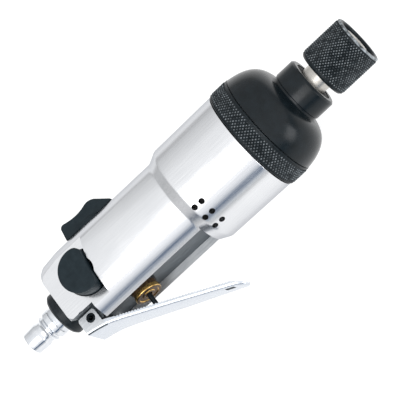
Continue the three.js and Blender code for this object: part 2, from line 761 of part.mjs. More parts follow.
piece("hammer_cage", hammerCage(), LOOK.steel);
piece("hammer_dog_rear", hammerDog(-63.6, -51.6, 1), LOOK.steel);
piece("hammer_dog_front", hammerDog(-50.6, -38.6, -1), LOOK.steel);
piece("hammer_pin_rear", rod(-67.2, -35, DOG_PIN_R, TINY_ROUND, { at: [0, DOG_PIN_Y, 0] }), LOOK.steel);
piece("hammer_pin_front", rod(-67.2, -35, DOG_PIN_R, TINY_ROUND, { at: [0, -DOG_PIN_Y, 0] }), LOOK.steel);
piece("anvil", anvil(), LOOK.chrome);
piece("anvil_bushing", tube(-30.2, -10.9, NOSE_BORE_R - 0.2, SPINDLE_R + GAP, MID_ROUND), LOOK.bronze);
piece("thrust_washer", tube(-31.6, -30.5, 9.2, SPINDLE_R + GAP, MID_ROUND), LOOK.steel);

// ---- Hammer case and clamp ring ----
// The case's domed outline, from the clamp ring down to the nose.
function domeOutline() {
  const dome = new THREE.CubicBezierCurve(
    new THREE.Vector2(CASE_REAR, CASE_R),
    new THREE.Vector2(-28.5, 24),
    new THREE.Vector2(-20.9, 21.8),
    new THREE.Vector2(-20.1, NOSE_R + 0.6),
  );
  return dome.getPoints(6).map((point) => [point.x, point.y]);
}

function hammerCase() {
  return turned(
    [
      [CASE_REAR, SPIGOT_R + GAP],
      ...domeOutline(),
      [NOSE_BASE, NOSE_R - 0.3],
      [NOSE_BASE + 0.7, NOSE_R - 0.3],
      [NOSE_BASE + 1, NOSE_R],
      [NOSE_FRONT - 0.9, NOSE_R],
      [NOSE_FRONT, NOSE_R - 0.9],
      [NOSE_FRONT, NOSE_BORE_R],
      [-29.4, NOSE_BORE_R],
      [-29.4, 12],
      [-28, 14.5],
      [-27.7, SPIGOT_R + GAP],
    ],
    ROUND,
  );
}

piece("hammer_case", hammerCase(), LOOK.blackGloss);
piece("clamp_ring", tube(RING_REAR, RING_FRONT, RING_R, SPIGOT_R + GAP, ROUND), LOOK.blackSteel);
piece("nose_seal", tube(-10.6, -9.3, NOSE_BORE_R - 0.2, SPINDLE_R + GAP, MID_ROUND), LOOK.rubber);

// ---- Quick-change chuck ----
const SLEEVE_BORE_R = 9.3;
const RIDGE_FRONT = 7.9;

function chuckSleeve() {
  const guide = SPINDLE_R + GAP;
  return turned(
    [
      [SLEEVE_REAR, guide],
      [SLEEVE_REAR, SLEEVE_R - 0.9],
      [SLEEVE_REAR + 0.9, SLEEVE_R],
      [SLEEVE_FRONT - 1.4, SLEEVE_R],
      [SLEEVE_FRONT - 0.4, SLEEVE_R - 0.4],
      [SLEEVE_FRONT, SLEEVE_R - 1.3],
      [SLEEVE_FRONT, SLEEVE_BORE_R + 0.4],
      [SLEEVE_FRONT - 0.4, SLEEVE_BORE_R],
      [RIDGE_FRONT, SLEEVE_BORE_R],
      [RIDGE_FRONT, guide],
      [3.2, guide],
      [1.7, 8.4],
      [-1.6, 8.4],
      [-1.6, guide],
    ],
    ROUND,
  );
}

// An open ring that snaps into the spindle's groove.
function retainingRing() {
  return tube(14.1, 14.8, 7.6, 5.8, MID_ROUND).subtract(box(13, 16, 0, 10, -1, 1));
}

piece("chuck_sleeve", chuckSleeve(), LOOK.blackSteel);
piece("chuck_spring", spring([8.6, 0, 0], X_AXIS, 3.7, 7.8, 0.4, 3), LOOK.springSteel);
piece("chuck_washer", tube(12.9, 13.8, 8.9, SPINDLE_R + GAP, MID_ROUND), LOOK.steel);
piece("chuck_retaining_ring", retainingRing(), LOOK.springSteel);
const LOCK_BALL_Y = SPINDLE_R - LOCK_BALL_R + 0.1;
piece("lock_ball_upper", ball(LOCK_BALL_X, LOCK_BALL_Y, 0, LOCK_BALL_R, 1), LOOK.steel);
piece("lock_ball_lower", ball(LOCK_BALL_X, -LOCK_BALL_Y, 0, LOCK_BALL_R, 1), LOOK.steel);

export default tool;
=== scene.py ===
"""Looks for a straight air impact screwdriver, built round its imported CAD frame.

Lengths are in millimetres until a mesh is made, and +X runs along the spindle towards the bit.
"""
import json
import math

import bmesh
import bpy
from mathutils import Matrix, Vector


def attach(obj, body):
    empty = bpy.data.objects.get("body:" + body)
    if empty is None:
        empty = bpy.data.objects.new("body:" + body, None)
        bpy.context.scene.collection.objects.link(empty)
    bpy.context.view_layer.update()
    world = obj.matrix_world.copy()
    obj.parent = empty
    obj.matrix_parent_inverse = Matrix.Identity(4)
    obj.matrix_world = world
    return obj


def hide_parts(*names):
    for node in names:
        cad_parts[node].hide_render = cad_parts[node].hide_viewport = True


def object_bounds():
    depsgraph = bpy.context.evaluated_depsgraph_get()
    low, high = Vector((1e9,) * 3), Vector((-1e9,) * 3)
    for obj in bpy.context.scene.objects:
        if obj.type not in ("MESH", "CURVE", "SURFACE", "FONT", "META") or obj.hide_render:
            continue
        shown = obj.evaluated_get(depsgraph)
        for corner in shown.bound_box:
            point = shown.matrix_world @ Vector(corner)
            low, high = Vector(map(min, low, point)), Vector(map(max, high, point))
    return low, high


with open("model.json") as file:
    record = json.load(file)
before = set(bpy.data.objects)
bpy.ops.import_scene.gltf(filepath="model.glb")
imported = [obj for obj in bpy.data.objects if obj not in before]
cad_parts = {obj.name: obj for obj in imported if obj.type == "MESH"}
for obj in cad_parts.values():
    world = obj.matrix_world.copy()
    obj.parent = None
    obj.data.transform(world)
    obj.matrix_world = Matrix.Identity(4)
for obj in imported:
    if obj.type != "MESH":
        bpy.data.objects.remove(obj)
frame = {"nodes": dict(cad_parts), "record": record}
cad_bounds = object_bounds()

MM = 0.001
X = Vector((1, 0, 0))
Y = Vector((0, 1, 0))
Z = Vector((0, 0, 1))

# ---- Driving dimensions, the same as the frame's ----
HANDLE_R = 21.7
BODY_R = 24.7
HOUSING_REAR = -150.4
SHOULDER_REAR, SHOULDER_FRONT = -83.6, -78.4
RING_REAR, RING_FRONT, RING_R = -45, -35.2, 25.4
SPIGOT_R, SPIGOT_FRONT = 22.4, -28
HAMMER_CAVITY_R, HAMMER_CAVITY_REAR = 19.5, -79.5
MOTOR_BORE_R, MOTOR_BORE_REAR = 13.6, -112
CASE_REAR, CASE_R = -34.9, 24.9
GAP = 0.3  # between the ring, the case and the housing, and round the spindle
NOSE_BASE, NOSE_FRONT, NOSE_R, NOSE_BORE_R = -19.5, -9, 12.4, 9.5
SPINDLE_R, SPINDLE_FRONT, HEX_FLATS = 6.4, 16, 6.5
SLEEVE_REAR, SLEEVE_FRONT, SLEEVE_R, SLEEVE_BORE_R = -4.6, 17, 12.1, 9.3
LOCK_BALL_X, LOCK_BALL_R = 5.5, 1.95
CHANNEL_FLOOR, CHANNEL_HALF = 15.1, 10.9
CHANNEL_REAR, CHANNEL_FRONT, NOTCH_FRONT = -140.2, -83, -138
TONGUE_HALF = 7
PIN_X, PIN_Y, PIN_R = -144.7, -13.3, 2
VALVE_X, REGULATOR_X, REVERSE_X = -120.6, -121.5, -132
SIDE_FLAT_Z, SIDE_FLAT_FRONT = 16.7, -127.07
FRONT_TILT = math.radians(8.4)  # the side flats' front walls and the buttons are turned by this much
POCKET_FLOOR, POCKET_CLEARANCE = 12.5, 0.4
BUTTON_R, BUTTON_FLAT, BUTTON_HEIGHT = 9.9, 4.2, 8.3
NEAR_SEAT, FAR_SEAT = 15.9, 12.8
PLUG_REAR, PLUG_BORE_R = -175.2, 2.7
COLLAR_REAR, INLET_BORE_R, INLET_BORE_FRONT = -157, 6.8, -141
VALVE_BORE_R, REGULATOR_BORE_R, REVERSE_BORE_R = 5.3, 5, 5.8
EXHAUST_ROWS = [34, 49, 64, 116, 131, 146]  # degrees round from +Z towards the lever
EXHAUST_COLUMNS = [-77.4, -73.5]
EXHAUST_R = 1.35
GUIDE_R = SPINDLE_R + GAP

ROUND_STEPS = 192
SMALL_STEPS = 72
ARC_STEPS = 6
SMOOTH_ANGLE = math.radians(34)


# ---- Camera ----
TOWARDS_CAMERA = Vector((0.199, -0.383, 0.902)).normalized()
SPINDLE_ANGLE = math.radians(43)  # the spindle axis leans this far up from level in the view
CAMERA_DISTANCE = 1.1
CAMERA_LENS = 235
TOOL_MIDDLE = -0.0785  # along X, in metres
VIEW_DROP = 0.0039  # from the spindle axis to the middle of the picture, in metres


def add_camera():
    """A long-lens camera above the lever's side, with the spindle running up to the right."""
    along = (X - X.dot(TOWARDS_CAMERA) * TOWARDS_CAMERA).normalized()
    across = TOWARDS_CAMERA.cross(along)
    right = math.cos(SPINDLE_ANGLE) * along - math.sin(SPINDLE_ANGLE) * across
    up = math.sin(SPINDLE_ANGLE) * along + math.cos(SPINDLE_ANGLE) * across
    aim = TOOL_MIDDLE * X - VIEW_DROP * across
    data = bpy.data.cameras.new("camera")
    data.lens = CAMERA_LENS
    data.sensor_width = 36
    data.clip_start = 0.05
    camera = bpy.data.objects.new("camera", data)
    bpy.context.collection.objects.link(camera)
    matrix = camera.matrix_world.to_3x3()
    for row in range(3):
        matrix[row] = (right[row], up[row], TOWARDS_CAMERA[row])
    camera.matrix_world = matrix.to_4x4()
    camera.location = aim + CAMERA_DISTANCE * TOWARDS_CAMERA
    bpy.context.scene.camera = camera


# ---- Studio ----
LIGHTS_MEET = -0.08  # along X, in metres
FLOOR_HALF, FLOOR_DROP = 3.0, 0.0002
ROOM_STRENGTH = 1.4


def studio_world():
    """A pale room. Round the spindle axis it is white above, greyer beyond the tool's back, and holds
    one narrow dark strip low on the lever's side. It dims towards the tool's tail."""
    world = bpy.data.worlds.new("studio")
    world.use_nodes = True
    bpy.context.scene.world = world
    nodes, links = world.node_tree.nodes, world.node_tree.links
    direction = nodes.new("ShaderNodeTexCoord")
    parts = nodes.new("ShaderNodeSeparateXYZ")
    lever_side = nodes.new("ShaderNodeMath")
    lever_side.operation = "MULTIPLY"
    lever_side.inputs[1].default_value = -1
    angle = nodes.new("ShaderNodeMath")
    angle.operation = "ARCTAN2"
    place = nodes.new("ShaderNodeMapRange")
    place.inputs["From Min"].default_value = -math.pi
    place.inputs["From Max"].default_value = math.pi
    ramp = nodes.new("ShaderNodeValToRGB")
    tones = [  # degrees round X from straight up towards the lever, and the room's colour there
        (-180, (0.50, 0.51, 0.52)),
        (-125, (0.42, 0.43, 0.44)),
        (-105, (0.45, 0.455, 0.46)),
        (-88, (0.55, 0.555, 0.56)),
        (-70, (0.63, 0.635, 0.64)),
        (-55, (0.68, 0.685, 0.69)),
        (-41, (0.80, 0.805, 0.81)),
        (-12, (0.85, 0.855, 0.86)),
        (10, (0.98, 0.98, 0.985)),
        (50, (0.98, 0.98, 0.99)),
        (62, (0.82, 0.83, 0.85)),
        (70, (0.66, 0.68, 0.71)),
        (75, (0.07, 0.11, 0.18)),
        (82, (0.08, 0.12, 0.19)),
        (88, (0.62, 0.65, 0.68)),
        (97, (0.88, 0.89, 0.91)),
        (180, (0.62, 0.63, 0.64)),
    ]
    elements = ramp.color_ramp.elements
    elements[0].color = (*tones[0][1], 1)
    elements[-1].color = (*tones[-1][1], 1)
    for degrees, colour in tones[1:-1]:
        elements.new(degrees / 360 + 0.5).color = (*colour, 1)
    background = nodes["Background"]
    background.inputs["Strength"].default_value = ROOM_STRENGTH
    links.new(direction.outputs["Generated"], parts.inputs[0])
    links.new(parts.outputs["Y"], lever_side.inputs[0])
    links.new(lever_side.outputs[0], angle.inputs[0])
    links.new(parts.outputs["Z"], angle.inputs[1])
    links.new(angle.outputs[0], place.inputs["Value"])
    links.new(place.outputs[0], ramp.inputs[0])
    tail = nodes.new("ShaderNodeMapRange")
    for name, value in (("From Min", -0.82), ("From Max", -0.62), ("To Min", 0.6), ("To Max", 1)):
        tail.inputs[name].default_value = value
    dimmed = nodes.new("ShaderNodeVectorMath")
    dimmed.operation = "SCALE"
    links.new(parts.outputs["X"], tail.inputs["Value"])
    links.new(ramp.outputs[0], dimmed.inputs[0])
    links.new(tail.outputs[0], dimmed.inputs["Scale"])
    links.new(dimmed.outputs[0], background.inputs["Color"])


def area_light(name, direction, distance, width, height, radiance):
    """A rectangular softbox that faces the tool, with its width along X where it can be."""
    data = bpy.data.lights.new(name, "AREA")
    data.shape = "RECTANGLE"
    data.size = width
    data.size_y = height
    data.energy = radiance * math.pi * width * height
    light = bpy.data.objects.new(name, data)
    bpy.context.collection.objects.link(light)
    away = Vector(direction).normalized()
    across = (X - X.dot(away) * away).normalized()
    upright = away.cross(across)
    matrix = light.matrix_world.to_3x3()
    for row in range(3):
        matrix[row] = (across[row], upright[row], away[row])
    light.matrix_world = matrix.to_4x4()
    light.location = away * distance + LIGHTS_MEET * X


def add_floor(material):
    """A square floor just below the tool."""
    height = cad_bounds[0][2] - FLOOR_DROP
    corners = [(-1, -1), (1, -1), (1, 1), (-1, 1)]
    mesh = bpy.data.meshes.new("floor")
    mesh.from_pydata([(x * FLOOR_HALF, y * FLOOR_HALF, height) for x, y in corners], [], [(0, 1, 2, 3)])
    mesh.materials.append(material)
    floor = bpy.data.objects.new("floor", mesh)
    bpy.context.collection.objects.link(floor)


# ---- Procedural materials ----
class Look:
    """A principled material whose detail comes from noise in millimetres on the object."""

    def __init__(self, name, colour, roughness, metallic=0.0, ior=1.5):
        self.material = bpy.data.materials.new(name)
        self.material.use_nodes = True
        self.nodes = self.material.node_tree.nodes
        self.links = self.material.node_tree.links
        self.shader = self.nodes["Principled BSDF"]
        self.shader.inputs["Metallic"].default_value = metallic
        self.shader.inputs["IOR"].default_value = ior
        self.shader.inputs["Base Color"].default_value = (*colour, 1)
        self.shader.inputs["Roughness"].default_value = roughness
        self.where = self.nodes.new("ShaderNodeTexCoord")

    def add(self, kind, **settings):
        node = self.nodes.new(kind)
        for key, value in settings.items():
            setattr(node, key, value)
        return node

    def join(self, source, target):
        self.links.new(source, target)

    def noise(self, scale, detail=4.0, stretch=(1, 1, 1), roughness=0.55):
        """Noise with `scale` waves per millimetre, drawn out along an axis by a small stretch."""
        mapping = self.add("ShaderNodeMapping")
        mapping.inputs["Scale"].default_value = [value / MM for value in stretch]
        noise = self.add("ShaderNodeTexNoise")
        noise.inputs["Scale"].default_value = scale
        noise.inputs["Detail"].default_value = detail
        noise.inputs["Roughness"].default_value = roughness
        self.join(self.where.outputs["Object"], mapping.inputs["Vector"])
        self.join(mapping.outputs[0], noise.inputs["Vector"])
        return noise.outputs["Fac"]

    def spread(self, value, low, high, start=0.3, end=0.7):
        """Maps a value from the range start to end onto low to high."""
        node = self.add("ShaderNodeMapRange")
        node.inputs["From Min"].default_value = start
        node.inputs["From Max"].default_value = end
        node.inputs["To Min"].default_value = low
        node.inputs["To Max"].default_value = high
        self.join(value, node.inputs["Value"])
        return node.outputs[0]

    def blend(self, factor, first, second):
        """A colour between two colours, or between a socket and a colour."""
        node = self.add("ShaderNodeMix", data_type="RGBA")
        for index, colour in ((6, first), (7, second)):
            if isinstance(colour, tuple):
                node.inputs[index].default_value = (*colour, 1)
            else:
                self.join(colour, node.inputs[index])
        self.join(factor, node.inputs[0])
        return node.outputs[2]

    def colour(self, socket):
        self.join(socket, self.shader.inputs["Base Color"])

    def roughness(self, socket):
        self.join(socket, self.shader.inputs["Roughness"])

    def bump(self, height, depth, strength=1.0):
        """Relief of `depth` millimetres. Several bumps add up."""
        node = self.add("ShaderNodeBump")
        node.inputs["Strength"].default_value = strength
        node.inputs["Distance"].default_value = depth * MM
        self.join(height, node.inputs["Height"])
        before = self.shader.inputs["Normal"].links
        if before:
            self.join(before[0].from_socket, node.inputs["Normal"])
        self.join(node.outputs[0], self.shader.inputs["Normal"])


LENGTHWISE = (0.03, 1, 1)


def polished_aluminium():
    look = Look("polished_aluminium", (0.80, 0.81, 0.83), 0.2, metallic=1)
    look.shader.inputs["Specular Tint"].default_value = (0.6, 0.61, 0.63, 1)
    streaks = look.noise(2.2, 5, LENGTHWISE)
    clouds = look.noise(0.06, 3)
    tone = look.blend(look.spread(streaks, 0, 1), (0.66, 0.668, 0.685), (0.73, 0.737, 0.752))
    look.colour(look.blend(look.spread(clouds, 0, 0.35), tone, (0.62, 0.632, 0.655)))
    look.roughness(look.spread(streaks, 0.16, 0.25))
    look.bump(streaks, 0.006)
    look.bump(look.noise(0.9, 2), 0.004)
    return look.material


# Painted shade: a dark, dull metal colour for recessed faces, standing in for the shade that falls there.
def recess_painted_shade():
    look = Look("recess_painted_shade", (0.10, 0.115, 0.125), 0.45, metallic=0.8)
    cutter = look.noise(1.2, 5, (0.15, 1, 1))
    look.colour(look.blend(look.spread(cutter, 0, 1), (0.07, 0.08, 0.09), (0.15, 0.17, 0.185)))
    look.roughness(look.spread(cutter, 0.38, 0.55))
    look.bump(cutter, 0.02)
    return look.material


def chrome():
    look = Look("chrome", (0.90, 0.91, 0.93), 0.1, metallic=1)
    haze = look.noise(0.5, 5)
    look.colour(look.blend(look.spread(haze, 0, 1), (0.60, 0.625, 0.66), (0.69, 0.705, 0.73)))
    look.roughness(look.spread(haze, 0.08, 0.17))
    look.bump(look.noise(3, 3), 0.003)
    return look.material


def satin_wall():
    """The channel's milled side walls, brighter than its floor."""
    look = Look("satin_wall", (0.5, 0.52, 0.54), 0.5, metallic=0.3)
    cutter = look.noise(1.2, 5, (0.15, 1, 1))
    look.colour(look.blend(look.spread(cutter, 0, 1), (0.42, 0.44, 0.46), (0.56, 0.575, 0.59)))
    look.roughness(look.spread(cutter, 0.45, 0.6))
    look.bump(cutter, 0.015)
    return look.material


# Painted shade: brass darkened to brown for faces that lie in shade, with a random mottle.
def brass_painted_shade():
    look = Look("brass_painted_shade", (0.10, 0.06, 0.03), 0.45, metallic=0.7)
    shade_mottle = look.noise(0.8, 5)
    look.colour(look.blend(look.spread(shade_mottle, 0, 1), (0.045, 0.028, 0.018), (0.17, 0.10, 0.045)))
    look.roughness(look.spread(shade_mottle, 0.38, 0.55))
    look.bump(shade_mottle, 0.01)
    return look.material


def satin_chrome():
    look = Look("satin_chrome", (0.62, 0.65, 0.70), 0.28, metallic=1)
    brushed = look.noise(1.5, 5, (0.06, 1, 1))
    look.colour(look.blend(look.spread(brushed, 0, 1), (0.53, 0.565, 0.615), (0.62, 0.65, 0.695)))
    look.roughness(look.spread(brushed, 0.22, 0.34))
    look.bump(brushed, 0.004)
    return look.material


def ground_steel(name="steel", colour=(0.60, 0.60, 0.60), roughness=0.3):
    look = Look(name, colour, roughness, metallic=1)
    marks = look.noise(1.6, 6, (1, 0.12, 1))
    dark = tuple(0.8 * value for value in colour)
    look.colour(look.blend(look.spread(marks, 0, 1), dark, colour))
    look.roughness(look.spread(marks, roughness - 0.07, roughness + 0.1))
    look.bump(marks, 0.01)
    return look.material


def black_oxide():
    """Blackened steel. The crests that a mesh marks with its `crest` attribute are painted bright: partly
    wear, partly a painted glint.
    """
    look = Look("black_steel", (0.01, 0.012, 0.015), 0.42, metallic=0.2, ior=1.32)
    patches = look.noise(0.9, 5)
    base = look.blend(look.spread(patches, 0, 1), (0.002, 0.004, 0.0055), (0.010, 0.016, 0.020))
    # Painted glint on the crests, partly wear, broken up by noise.
    crest = look.add("ShaderNodeAttribute", attribute_name="crest")
    glint_and_wear = look.add("ShaderNodeMath", operation="MULTIPLY")
    look.join(look.spread(crest.outputs["Fac"], 0, 1, 0.35, 1), glint_and_wear.inputs[0])
    look.join(look.spread(look.noise(0.45, 4), 0.05, 1, 0.38, 0.62), glint_and_wear.inputs[1])
    look.colour(look.blend(glint_and_wear.outputs[0], base, (0.30, 0.33, 0.35)))
    look.roughness(look.spread(patches, 0.34, 0.5))
    look.bump(look.noise(5, 4), 0.012)
    return look.material


def gloss_coat():
    look = Look("black_gloss", (0.008, 0.011, 0.014), 0.16, ior=1.31)
    depth = look.noise(0.25, 3)
    look.colour(look.blend(look.spread(depth, 0, 1), (0.002, 0.0045, 0.006), (0.005, 0.009, 0.012)))
    look.roughness(look.spread(look.noise(1.2, 4), 0.2, 0.28))
    look.bump(look.noise(0.8, 2), 0.006)
    return look.material


def moulded_plastic():
    look = Look("black_plastic", (0.01, 0.014, 0.018), 0.55, ior=1.28)
    grain = look.noise(6, 4)
    shade = look.spread(look.noise(0.4, 4), 0, 1)
    look.colour(look.blend(shade, (0.004, 0.010, 0.014), (0.009, 0.017, 0.022)))
    look.roughness(look.spread(grain, 0.48, 0.64))
    look.bump(grain, 0.02)
    return look.material


def rubber():
    look = Look("rubber", (0.02, 0.02, 0.02), 0.7, ior=1.5)
    dust = look.noise(1.1, 5)
    look.colour(look.blend(look.spread(dust, 0, 1), (0.014, 0.014, 0.015), (0.035, 0.034, 0.033)))
    look.roughness(look.spread(dust, 0.6, 0.8))
    look.bump(look.noise(8, 3), 0.01)
    return look.material


def copper_alloy(name, colour, tarnish, roughness):
    look = Look(name, colour, roughness, metallic=1)
    rings = look.noise(1.4, 5, (1, 0.08, 1))
    aged = look.spread(look.noise(0.55, 4), 0, 0.55, 0.45, 0.7)
    look.colour(look.blend(aged, look.blend(look.spread(rings, 0, 1), colour, tarnish), tarnish))
    look.roughness(look.spread(rings, roughness - 0.05, roughness + 0.12))
    look.bump(rings, 0.008)
    return look.material


def laminate():
    look = Look("vane_composite", (0.28, 0.16, 0.08), 0.6)
    layers = look.add("ShaderNodeTexWave", wave_type="BANDS", bands_direction="Z")
    layers.inputs["Scale"].default_value = 0.9 / MM
    layers.inputs["Distortion"].default_value = 1.2
    look.join(look.where.outputs["Object"], layers.inputs["Vector"])
    look.colour(look.blend(layers.outputs["Fac"], (0.20, 0.11, 0.05), (0.34, 0.21, 0.11)))
    look.bump(layers.outputs["Fac"], 0.02)
    return look.material


def pressed_felt():
    look = Look("felt", (0.04, 0.04, 0.04), 0.95)
    fibres = look.noise(3.5, 8, (1, 0.4, 1))
    look.colour(look.blend(look.spread(fibres, 0, 1), (0.02, 0.02, 0.02), (0.09, 0.088, 0.084)))
    look.bump(fibres, 0.15)
    return look.material


def floor_paint():
    """A white floor that glows round the tool and dims further off."""
    look = Look("floor_paint", (0.28, 0.28, 0.28), 0.9)
    look.colour(look.blend(look.noise(0.02, 3), (0.27, 0.27, 0.27), (0.29, 0.29, 0.29)))
    look.shader.inputs["Emission Color"].default_value = (1, 1, 1, 1)
    away = look.add("ShaderNodeVectorMath", operation="DISTANCE")
    away.inputs[1].default_value = (-0.08, -0.045, cad_bounds[0][2])
    look.join(look.where.outputs["Object"], away.inputs[0])
    glow = look.spread(away.outputs["Value"], 0.86, 0.25, 0.19, 0.34)
    look.join(glow, look.shader.inputs["Emission Strength"])
    look.shader.inputs["Specular IOR Level"].default_value = 0.0
    return look.material


LOOKS = {
    "polished_aluminium": polished_aluminium(),
    "recess_painted_shade": recess_painted_shade(),
    "satin_wall": satin_wall(),
    "chrome": chrome(),
    "satin_chrome": satin_chrome(),
    "steel": ground_steel(),
    "worn_steel": ground_steel("worn_steel", (0.55, 0.53, 0.495), 0.3),
    "spring_steel": ground_steel("spring_steel", (0.36, 0.36, 0.37), 0.36),
    "black_steel": black_oxide(),
    "black_gloss": gloss_coat(),
    "black_plastic": moulded_plastic(),
    "rubber": rubber(),
    "brass": copper_alloy("brass", (0.86, 0.60, 0.24), (0.50, 0.29, 0.08), 0.22),
    "brass_painted_shade": brass_painted_shade(),
    "bronze": copper_alloy("bronze", (0.52, 0.33, 0.17), (0.28, 0.17, 0.08), 0.34),
    "vane_composite": laminate(),
    "felt": pressed_felt(),
}


# ---- Mesh helpers ----
def link(name, bm):
    """A mesh object from a bmesh in millimetres."""
    bmesh.ops.remove_doubles(bm, verts=bm.verts, dist=1e-5)
    bmesh.ops.recalc_face_normals(bm, faces=bm.faces)
    bmesh.ops.scale(bm, vec=(MM, MM, MM), verts=bm.verts)
    mesh = bpy.data.meshes.new(name)
    bm.to_mesh(mesh)
    bm.free()
    obj = bpy.data.objects.new(name, mesh)
    bpy.context.collection.objects.link(obj)
    return obj


def rounded(corners, closed):
    """Replaces each corner that states a radius by an arc that touches both of its sides."""
    points = []
    for i, corner in enumerate(corners):
        here = Vector(corner[:2])
        inside = closed or 0 < i < len(corners) - 1
        if len(corner) < 3 or not inside:
            points.append(here)
            continue
        before = (Vector(corners[i - 1][:2]) - here).normalized()
        after = (Vector(corners[(i + 1) % len(corners)][:2]) - here).normalized()
        half = before.angle(after) / 2
        centre = here + (before + after).normalized() * corner[2] / math.sin(half)
        reach = corner[2] / math.tan(half)
        first = here + before * reach - centre
        last = here + after * reach - centre
        turn = first.angle_signed(last)
        for k in range(ARC_STEPS + 1):
            angle = -turn * k / ARC_STEPS
            cos, sin = math.cos(angle), math.sin(angle)
            points.append(centre + Vector((first.x * cos - first.y * sin, first.x * sin + first.y * cos)))
    return points


def standing(bm, at, facing):
    """Turns geometry made round +X to stand round another direction, and moves it."""
    turn = X.rotation_difference(facing).to_matrix()
    bmesh.ops.rotate(bm, cent=(0, 0, 0), matrix=turn, verts=bm.verts)
    bmesh.ops.translate(bm, vec=Vector(at), verts=bm.verts)


def revolve(name, profile, steps=ROUND_STEPS, at=(0, 0, 0), facing=X):
    """A turned solid. The profile lists (distance along the axis, radius, optional corner radius)."""
    solid = profile[0][1] == 0 and profile[-1][1] == 0
    points = rounded(profile, closed=not solid)
    bm = bmesh.new()
    rings = []
    for along, radius in points:
        count = steps if radius > 1e-6 else 1
        angles = [2 * math.pi * k / steps for k in range(count)]
        rings.append([bm.verts.new((along, radius * math.cos(a), radius * math.sin(a))) for a in angles])
    pairs = list(zip(rings, rings[1:]))
    if not solid:
        pairs.append((rings[-1], rings[0]))
    for first, second in pairs:
        for k in range(steps):
            corners = [first[k % len(first)], first[(k + 1) % len(first)]]
            corners += [second[(k + 1) % len(second)], second[k % len(second)]]
            kept = list(dict.fromkeys(corners))
            if len(kept) > 2:
                bm.faces.new(kept)
    standing(bm, at, facing)
    return link(name, bm)


def rod(name, start, end, radius, steps=SMALL_STEPS, at=(0, 0, 0), facing=X):
    return revolve(name, [(start, 0), (start, radius), (end, radius), (end, 0)], steps, at, facing)


def extrude(name, outline, start, end, axes=(X, Y, Z)):
    """A prism. The outline's two coordinates run along the first two axes and its depth along the third."""
    bm = bmesh.new()
    ends = []
    for depth in (start, end):
        ends.append([bm.verts.new(u * axes[0] + v * axes[1] + depth * axes[2]) for u, v in outline])
    bm.faces.new(ends[0])
    bm.faces.new(ends[1])
    for k in range(len(outline)):
        n = (k + 1) % len(outline)
        bm.faces.new([ends[0][k], ends[0][n], ends[1][n], ends[1][k]])
    return link(name, bm)


def box(name, low, high):
    outline = [(low[0], low[1]), (high[0], low[1]), (high[0], high[1]), (low[0], high[1])]
    return extrude(name, outline, low[2], high[2])


def settle(obj):
    """Applies an object's modifiers to its mesh."""
    depsgraph = bpy.context.evaluated_depsgraph_get()
    mesh = bpy.data.meshes.new_from_object(obj.evaluated_get(depsgraph))
    obj.modifiers.clear()
    old = obj.data
    obj.data = mesh
    bpy.data.meshes.remove(old)
    return obj


def combine(obj, others, operation="DIFFERENCE"):
    """Cuts objects out of a solid, or joins them to it, one after another."""
    for other in others:
        modifier = obj.modifiers.new("boolean", "BOOLEAN")
        modifier.operation = operation
        modifier.solver = "EXACT"
        modifier.object = other
        settle(obj)
        bpy.data.meshes.remove(other.data)
    return obj


def soften(obj, width, segments=2, angle=40):
    """Rounds the sharp edges by a width in millimetres."""
    modifier = obj.modifiers.new("bevel", "BEVEL")
    modifier.width = width * MM
    modifier.segments = segments
    modifier.limit_method = "ANGLE"
    modifier.angle_limit = math.radians(angle)
    modifier.miter_outer = "MITER_ARC"
    return settle(obj)


def merged(name, objects):
    """One object that holds the meshes of several, each of them closed."""
    bm = bmesh.new()
    for obj in objects:
        bm.from_mesh(obj.data)
        bpy.data.meshes.remove(obj.data)
    mesh = bpy.data.meshes.new(name)
    bm.to_mesh(mesh)
    bm.free()
    whole = bpy.data.objects.new(name, mesh)
    bpy.context.collection.objects.link(whole)
    return whole


def present(obj, material_slot, body, nodes, smooth=True):
    """Finishes a piece: shading, material, the body it rides on and the CAD nodes it stands for."""
    if smooth:
        obj.data.shade_smooth()
        obj.data.set_sharp_from_angle(angle=SMOOTH_ANGLE)
    obj.data.materials.clear()
    obj.data.materials.append(LOOKS[material_slot])
    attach(obj, body)
    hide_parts(*nodes)
    return obj


# ---- Housing ----
def turned_by(points, angle):
    """Turns (x, y) points about the reversing valve's axis."""
    cos, sin = math.cos(angle), math.sin(angle)
    return [(REVERSE_X + x * cos - y * sin, x * sin + y * cos) for x, y in points]


def button_outline(grow, corner):
    """The D-shaped outline of the reversing buttons and their pockets, with rounded corners."""
    radius, flat = BUTTON_R + grow, BUTTON_FLAT + grow
    centre_x = flat - corner
    centre_y = math.sqrt((radius - corner) ** 2 - centre_x**2)
    start = math.atan2(centre_y, centre_x)
    arc_steps, corner_steps = 60, 8
    points = []
    for k in range(arc_steps + 1):
        angle = start + (2 * math.pi - 2 * start) * k / arc_steps
        points.append((radius * math.cos(angle), radius * math.sin(angle)))
    turns = [start * k / corner_steps for k in range(corner_steps)]
    lower = [(centre_x + corner * math.cos(turn), corner * math.sin(turn)) for turn in turns]
    points += [(x, -centre_y - y) for x, y in reversed(lower)]
    points += [(x, centre_y + y) for x, y in lower]
    return turned_by(points, -FRONT_TILT)


def side_flat(start, end):
    """Everything outside a side flat, seen along Z."""
    half = 30
    lean = half * math.tan(FRONT_TILT)
    rear = HOUSING_REAR - 5
    outline = [(rear, -half), (SIDE_FLAT_FRONT - lean, -half), (SIDE_FLAT_FRONT + lean, half), (rear, half)]
    return extrude("side_flat", outline, start, end)


